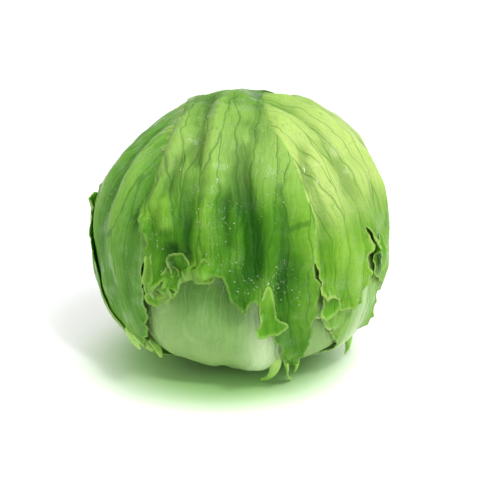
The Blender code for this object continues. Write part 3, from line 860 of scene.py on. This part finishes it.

# %% [markdown]
# ## Torn shreds
# Where the leaves tore, thin strips hang to the floor. A strip is a ribbon swept along a
# short path: one Geometry Nodes tree turns every path into a tapered, twisted ribbon, and
# its inputs say how wide and thick. Each path is drawn by a few points.

# %% Shreds
class NodeMaker:
    """Adds nodes to a Geometry Nodes tree: settings first, then socket values or links."""

    def __init__(self, name, inputs):
        self.tree = bpy.data.node_groups.new(name, "GeometryNodeTree")
        self.tree.interface.new_socket("Geometry", in_out="INPUT", socket_type="NodeSocketGeometry")
        self.names = {}
        for label, kind, value in inputs:
            kind_name = "NodeSocket" + kind
            socket = self.tree.interface.new_socket(label, in_out="INPUT", socket_type=kind_name)
            if kind != "Material":
                socket.default_value = value
            self.names[label] = (socket.identifier, value)
        self.tree.interface.new_socket("Geometry", in_out="OUTPUT", socket_type="NodeSocketGeometry")
        self.given = self.tree.nodes.new("NodeGroupInput")

    def node(self, kind, settings=None, values=None):
        node = self.tree.nodes.new(kind)
        for setting, value in (settings or {}).items():
            setattr(node, setting, value)
        for key, value in (values or {}).items():
            socket = socket_of(node, key)
            if isinstance(value, bpy.types.NodeSocket):
                self.tree.links.new(value, socket)
            else:
                socket.default_value = value
        return node

    def out(self, node, name=None):
        return next(s for s in node.outputs if s.enabled and name in (None, s.name))

    def maths(self, operation, *values):
        return self.out(self.node("ShaderNodeMath", {"operation": operation}, dict(enumerate(values))))

    def end(self, socket, finish):
        real = self.node("GeometryNodeRealizeInstances", {}, {"Geometry": socket})
        named = self.node("GeometryNodeSetMaterial", {}, {"Geometry": self.out(real), "Material": finish})
        last = self.tree.nodes.new("NodeGroupOutput")
        self.tree.links.new(self.out(named), last.inputs[0])

    def make(self, source, name):
        """Runs the tree on an object and returns the result as a plain mesh object."""
        modifier = source.modifiers.new("nodes", "NODES")
        modifier.node_group = self.tree
        for identifier, value in self.names.values():
            modifier[identifier] = value
        source.update_tag()
        bpy.context.view_layer.update()
        done = source.evaluated_get(bpy.context.evaluated_depsgraph_get())
        mesh = bpy.data.meshes.new_from_object(done)
        source.modifiers.remove(modifier)
        piece = bpy.data.objects.new(name, mesh)
        bpy.context.collection.objects.link(piece)
        for polygon in mesh.polygons:
            polygon.use_smooth = True
        print(f"{name}: {len(mesh.polygons)} faces")
        return piece


SHRED_PATHS = (
    ((21, -56, 24), (23, -53, 14), (24, -47, 6), (26, -42, 1.2)),
    ((18, -57, 26), (17.5, -55, 15), (14.5, -49, 6), (10.5, -43, 1.1)),
    ((27, -53, 21), (28, -50, 13), (27, -46, 7)),
    ((55, -29, 22), (56, -24, 12), (55, -20, 5)),
    ((-56, -38, 29), (-54, -40, 23), (-51, -40, 17)),
    ((-54, -39, 27), (-49, -41, 22), (-44.5, -40, 16)),
    ((-46, -42, 24), (-42, -42, 19), (-40, -41, 13)),
)


def shred_paths():
    curve = bpy.data.curves.new("shred_paths", "CURVE")
    curve.dimensions = "3D"
    for points in SHRED_PATHS:
        line = curve.splines.new("BEZIER")
        line.bezier_points.add(len(points) - 1)
        for spot, place in zip(line.bezier_points, points):
            spot.co = Vector(place) * MM
            spot.handle_left_type = spot.handle_right_type = "AUTO"
        line.resolution_u = 10
    paths = bpy.data.objects.new("shred_paths", curve)
    bpy.context.collection.objects.link(paths)
    return paths


def shred_tree(finish):
    inputs = (("Width", "Float", 0.0031), ("Thickness", "Float", 0.0007), ("Material", "Material", finish))
    g = NodeMaker("torn_shred", inputs)
    given = g.given.outputs
    profile = g.node("GeometryNodeCurvePrimitiveCircle", {"mode": "RADIUS"}, {"Resolution": 10, "Radius": 1.0})
    scale = g.node("ShaderNodeCombineXYZ", {}, {"X": given["Width"], "Y": given["Thickness"], "Z": 1.0})
    flat = g.node("GeometryNodeTransform", {}, {"Geometry": g.out(profile), "Scale": g.out(scale)})
    share = g.node("GeometryNodeSplineParameter")
    # The ribbon narrows over its last part, and its width wavers along it.
    taper = g.node(
        "ShaderNodeMapRange", {"interpolation_type": "SMOOTHSTEP"},
        {"Value": g.out(share, "Factor"), "From Min": 1.0, "From Max": 0.3, "To Min": 0.25, "To Max": 1.0},
    )
    wave = g.maths("SINE", g.maths("MULTIPLY", g.out(share, "Length"), 520.0))
    size = g.maths("MULTIPLY", g.out(taper), g.maths("MULTIPLY_ADD", wave, 0.22, 1.0))
    turn = g.maths("MULTIPLY", g.out(share, "Factor"), 1.3)
    twisted = g.node("GeometryNodeSetCurveTilt", {}, {"Curve": given["Geometry"], "Tilt": turn})
    swept = g.node(
        "GeometryNodeCurveToMesh", {},
        {"Curve": g.out(twisted), "Profile Curve": g.out(flat), "Fill Caps": True, "Scale": size},
    )
    g.end(g.out(swept), given["Material"])
    return g


def shred_finish():
    f = Finish("shred_green")
    place = f.node("TexCoord", out="Object")
    patch = f.noise(place, 220.0, 3.0)
    fibres = f.noise(f.stretch(place, (1400, 1400, 120)), 1.0)
    return f.skin({
        "Base Color": f.mix(patch, shade(112, 168, 52), shade(188, 216, 124)),
        "Roughness": 0.34 + patch * 0.12,
        "Normal": f.bump(0.4, 0.0005, fibres),
        "Subsurface Weight": 0.25,
        "Subsurface Radius": GREEN_GLOW,
        "Subsurface Scale": 0.003,
    })


paths = shred_paths()
shreds = shred_tree(shred_finish()).make(paths, "torn_shreds")
bpy.data.objects.remove(paths)

# %% [markdown]
# ## Dew
# The head has been rinsed. Small drops sit on the outer side of the three cap leaves, a few
# together, and with the small lamp they make its white glints; their finish also has a pale,
# partly diffuse colour, a painted glint. Geometry Nodes scatter them: points on the outer side
# of a leaf, a flattened low drop on each, its size drawn from a fixed seed.

# %% Drops
def water_finish():
    f = Finish("dew_water")
    film = f.noise(f.node("TexCoord", out="Object"), 900.0)
    return f.skin({
        # Painted glint: a fifth of each drop is a pale green diffuse colour, which lightens it like caught
        # light.
        "Base Color": f.mix(film, (0.55, 0.80, 0.32, 1), (0.78, 0.94, 0.58, 1)),
        "Roughness": 0.03 + film * 0.08,
        "IOR": 1.33,
        "Transmission Weight": 0.8,
        "Specular IOR Level": 1.0,
    })


def more_than(g, mark, least):
    """Where a value that a leaf carries at its points is above a limit."""
    value = g.node("GeometryNodeInputNamedAttribute", {"data_type": "FLOAT"}, {"Name": mark})
    return g.out(g.node("FunctionNodeCompare", {"operation": "GREATER_THAN"}, {0: g.out(value), 1: least}))


def dew_tree(finish, seed, density):
    g = NodeMaker("dew", (
        ("Density", "Float", density), ("Smallest", "Float", 0.00018), ("Largest", "Float", 0.0006),
        ("Seed", "Int", seed), ("Material", "Material", finish),
    ))
    given = g.given.outputs
    # Drops sit on the outer side and, where the margin is loose, at least 3 mm in from it.
    wanted = {0: more_than(g, "outer", 0.99), 1: more_than(g, "inside", 3.0)}
    both = g.node("FunctionNodeBooleanMath", {"operation": "AND"}, wanted)
    spread = g.node("ShaderNodeTexNoise", {}, {"Scale": 48.0, "Detail": 2.0})
    clumps = g.node(
        "ShaderNodeMapRange", {},
        {"Value": g.out(spread), "From Min": 0.49, "From Max": 0.66, "To Min": 0.006, "To Max": 1.0},
    )
    share = g.maths("MULTIPLY", g.out(clumps), given["Density"])
    points = g.node(
        "GeometryNodeDistributePointsOnFaces", {},
        {"Mesh": given["Geometry"], "Selection": g.out(both), "Density": share, "Seed": given["Seed"]},
    )
    drop = g.node("GeometryNodeMeshUVSphere", {}, {"Segments": 8, "Rings": 5, "Radius": 1.0})
    low = g.node("GeometryNodeTransform", {}, {"Geometry": g.out(drop), "Scale": (1.0, 1.0, 0.55)})
    # The third power leaves only a few drops large.
    ends = {"Min": 0.0, "Max": 1.0, "Seed": given["Seed"]}
    any_size = g.node("FunctionNodeRandomValue", {"data_type": "FLOAT"}, ends)
    few_large = g.maths("POWER", g.out(any_size), 3.0)
    ends = {"Value": few_large, "To Min": given["Smallest"], "To Max": given["Largest"]}
    size = g.node("ShaderNodeMapRange", {}, ends)
    placed = g.node("GeometryNodeInstanceOnPoints", {}, {
        "Points": g.out(points, "Points"), "Instance": g.out(low),
        "Rotation": g.out(points, "Rotation"), "Scale": g.out(size),
    })
    g.end(g.out(placed), given["Material"])
    return g


WATER = water_finish()
drops = {}
for place, seed, density in (("front", 5, 330000.0), ("left", 6, 190000.0), ("right", 7, 300000.0)):
    drops[place] = dew_tree(WATER, seed, density).make(pieces["cap_leaf_" + place], place + "_dew")

# %% [markdown]
# ## Tying pieces to the model
# Every piece moves with the one body, and each leaf stands for its own solid leaf.

# %% Rides
for node, piece in pieces.items():
    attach(piece, "root")
    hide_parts(node)
for piece in (shreds, *lobes, *drops.values()):
    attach(piece, "root")

# %% [markdown]
# ## Floor, light and camera
# A plain white floor runs far back, so the head stands in white. Under the head the floor's
# finish holds a painted shadow, tinted green as painted light that came through the leaves.
# One large soft light from the upper right models the folds, a wide weak one from the left
# keeps the far side green, a small one makes the drops glint, and the camera looks down a little.

# %% Studio
def floor_painted_shadow_finish():
    f = Finish("white_floor_painted_shadow")
    middle = {"Vector": f.node("TexCoord", out="Object"), "Location": (0.008, 0.012, 0)}
    place = f.node("Mapping", {}, middle)
    away = f.node("VectorMath", {"operation": "LENGTH"}, {0: place}, out="Value")
    # Painted shadow: a darker green disc, fading out from about 3 to 9 cm around a point just off the head's
    # middle, as shade and green light through the leaves.
    tint = f.mix(f.step(0.034, 0.090, away), (0.33, 0.58, 0.21, 1), (0.97, 0.97, 0.97, 1))
    return f.skin({"Base Color": tint, "Roughness": 0.75})


floor_mesh = bpy.data.meshes.new("floor")
floor_mesh.from_pydata([(-9, -9, 0), (9, -9, 0), (9, 9, 0), (-9, 9, 0)], [], [(0, 1, 2, 3)])
floor_mesh.materials.append(floor_painted_shadow_finish())
floor = bpy.data.objects.new("floor", floor_mesh)
bpy.context.collection.objects.link(floor)


def soft_light(name, azimuth, height, distance, size, power):
    lamp = bpy.data.lights.new(name, "AREA")
    lamp.shape, lamp.size, lamp.energy = "DISK", size, power
    light = bpy.data.objects.new(name, lamp)
    bpy.context.collection.objects.link(light)
    light.location = Vector(CENTRE + unit(azimuth, height) * distance)
    light.rotation_euler = (Vector(CENTRE) - light.location).to_track_quat("-Z", "Y").to_euler()


soft_light("key", -42, 54, 0.9, 0.6, 6.0)
soft_light("fill", -160, 35, 1.1, 0.8, 1.0)
soft_light("glint", -62, 48, 0.9, 0.08, 2.4)
world = bpy.context.scene.world or bpy.data.worlds.new("studio")
bpy.context.scene.world = world
world.use_nodes = True
world.node_tree.nodes["Background"].inputs[0].default_value = (1, 1, 1, 1)
world.node_tree.nodes["Background"].inputs[1].default_value = 1.0
bpy.context.scene.view_settings.view_transform = "Standard"
bpy.context.scene.view_settings.look = "None"

TILT, DISTANCE = math.radians(20), 0.62
forward = Vector((0, math.cos(TILT), -math.sin(TILT)))
upward = Vector((0, math.sin(TILT), math.cos(TILT)))
lens = bpy.data.cameras.new("camera")
lens.lens, lens.sensor_width = 85, 36
lens.clip_start, lens.clip_end = 0.05, 40
camera = bpy.data.objects.new("camera", lens)
bpy.context.collection.objects.link(camera)
target = Vector(CENTRE) + Vector((0.0050, 0, -0.0005)) - upward * 0.0126
camera.location = target - forward * DISTANCE
camera.rotation_euler = forward.to_track_quat("-Z", "Y").to_euler()
bpy.context.scene.camera = camera
print("camera", [round(v, 3) for v in camera.location])

# %% [markdown]
# ## Last update
# The scene is brought up to date before the file ends.

# %% Update
bpy.context.view_layer.update()
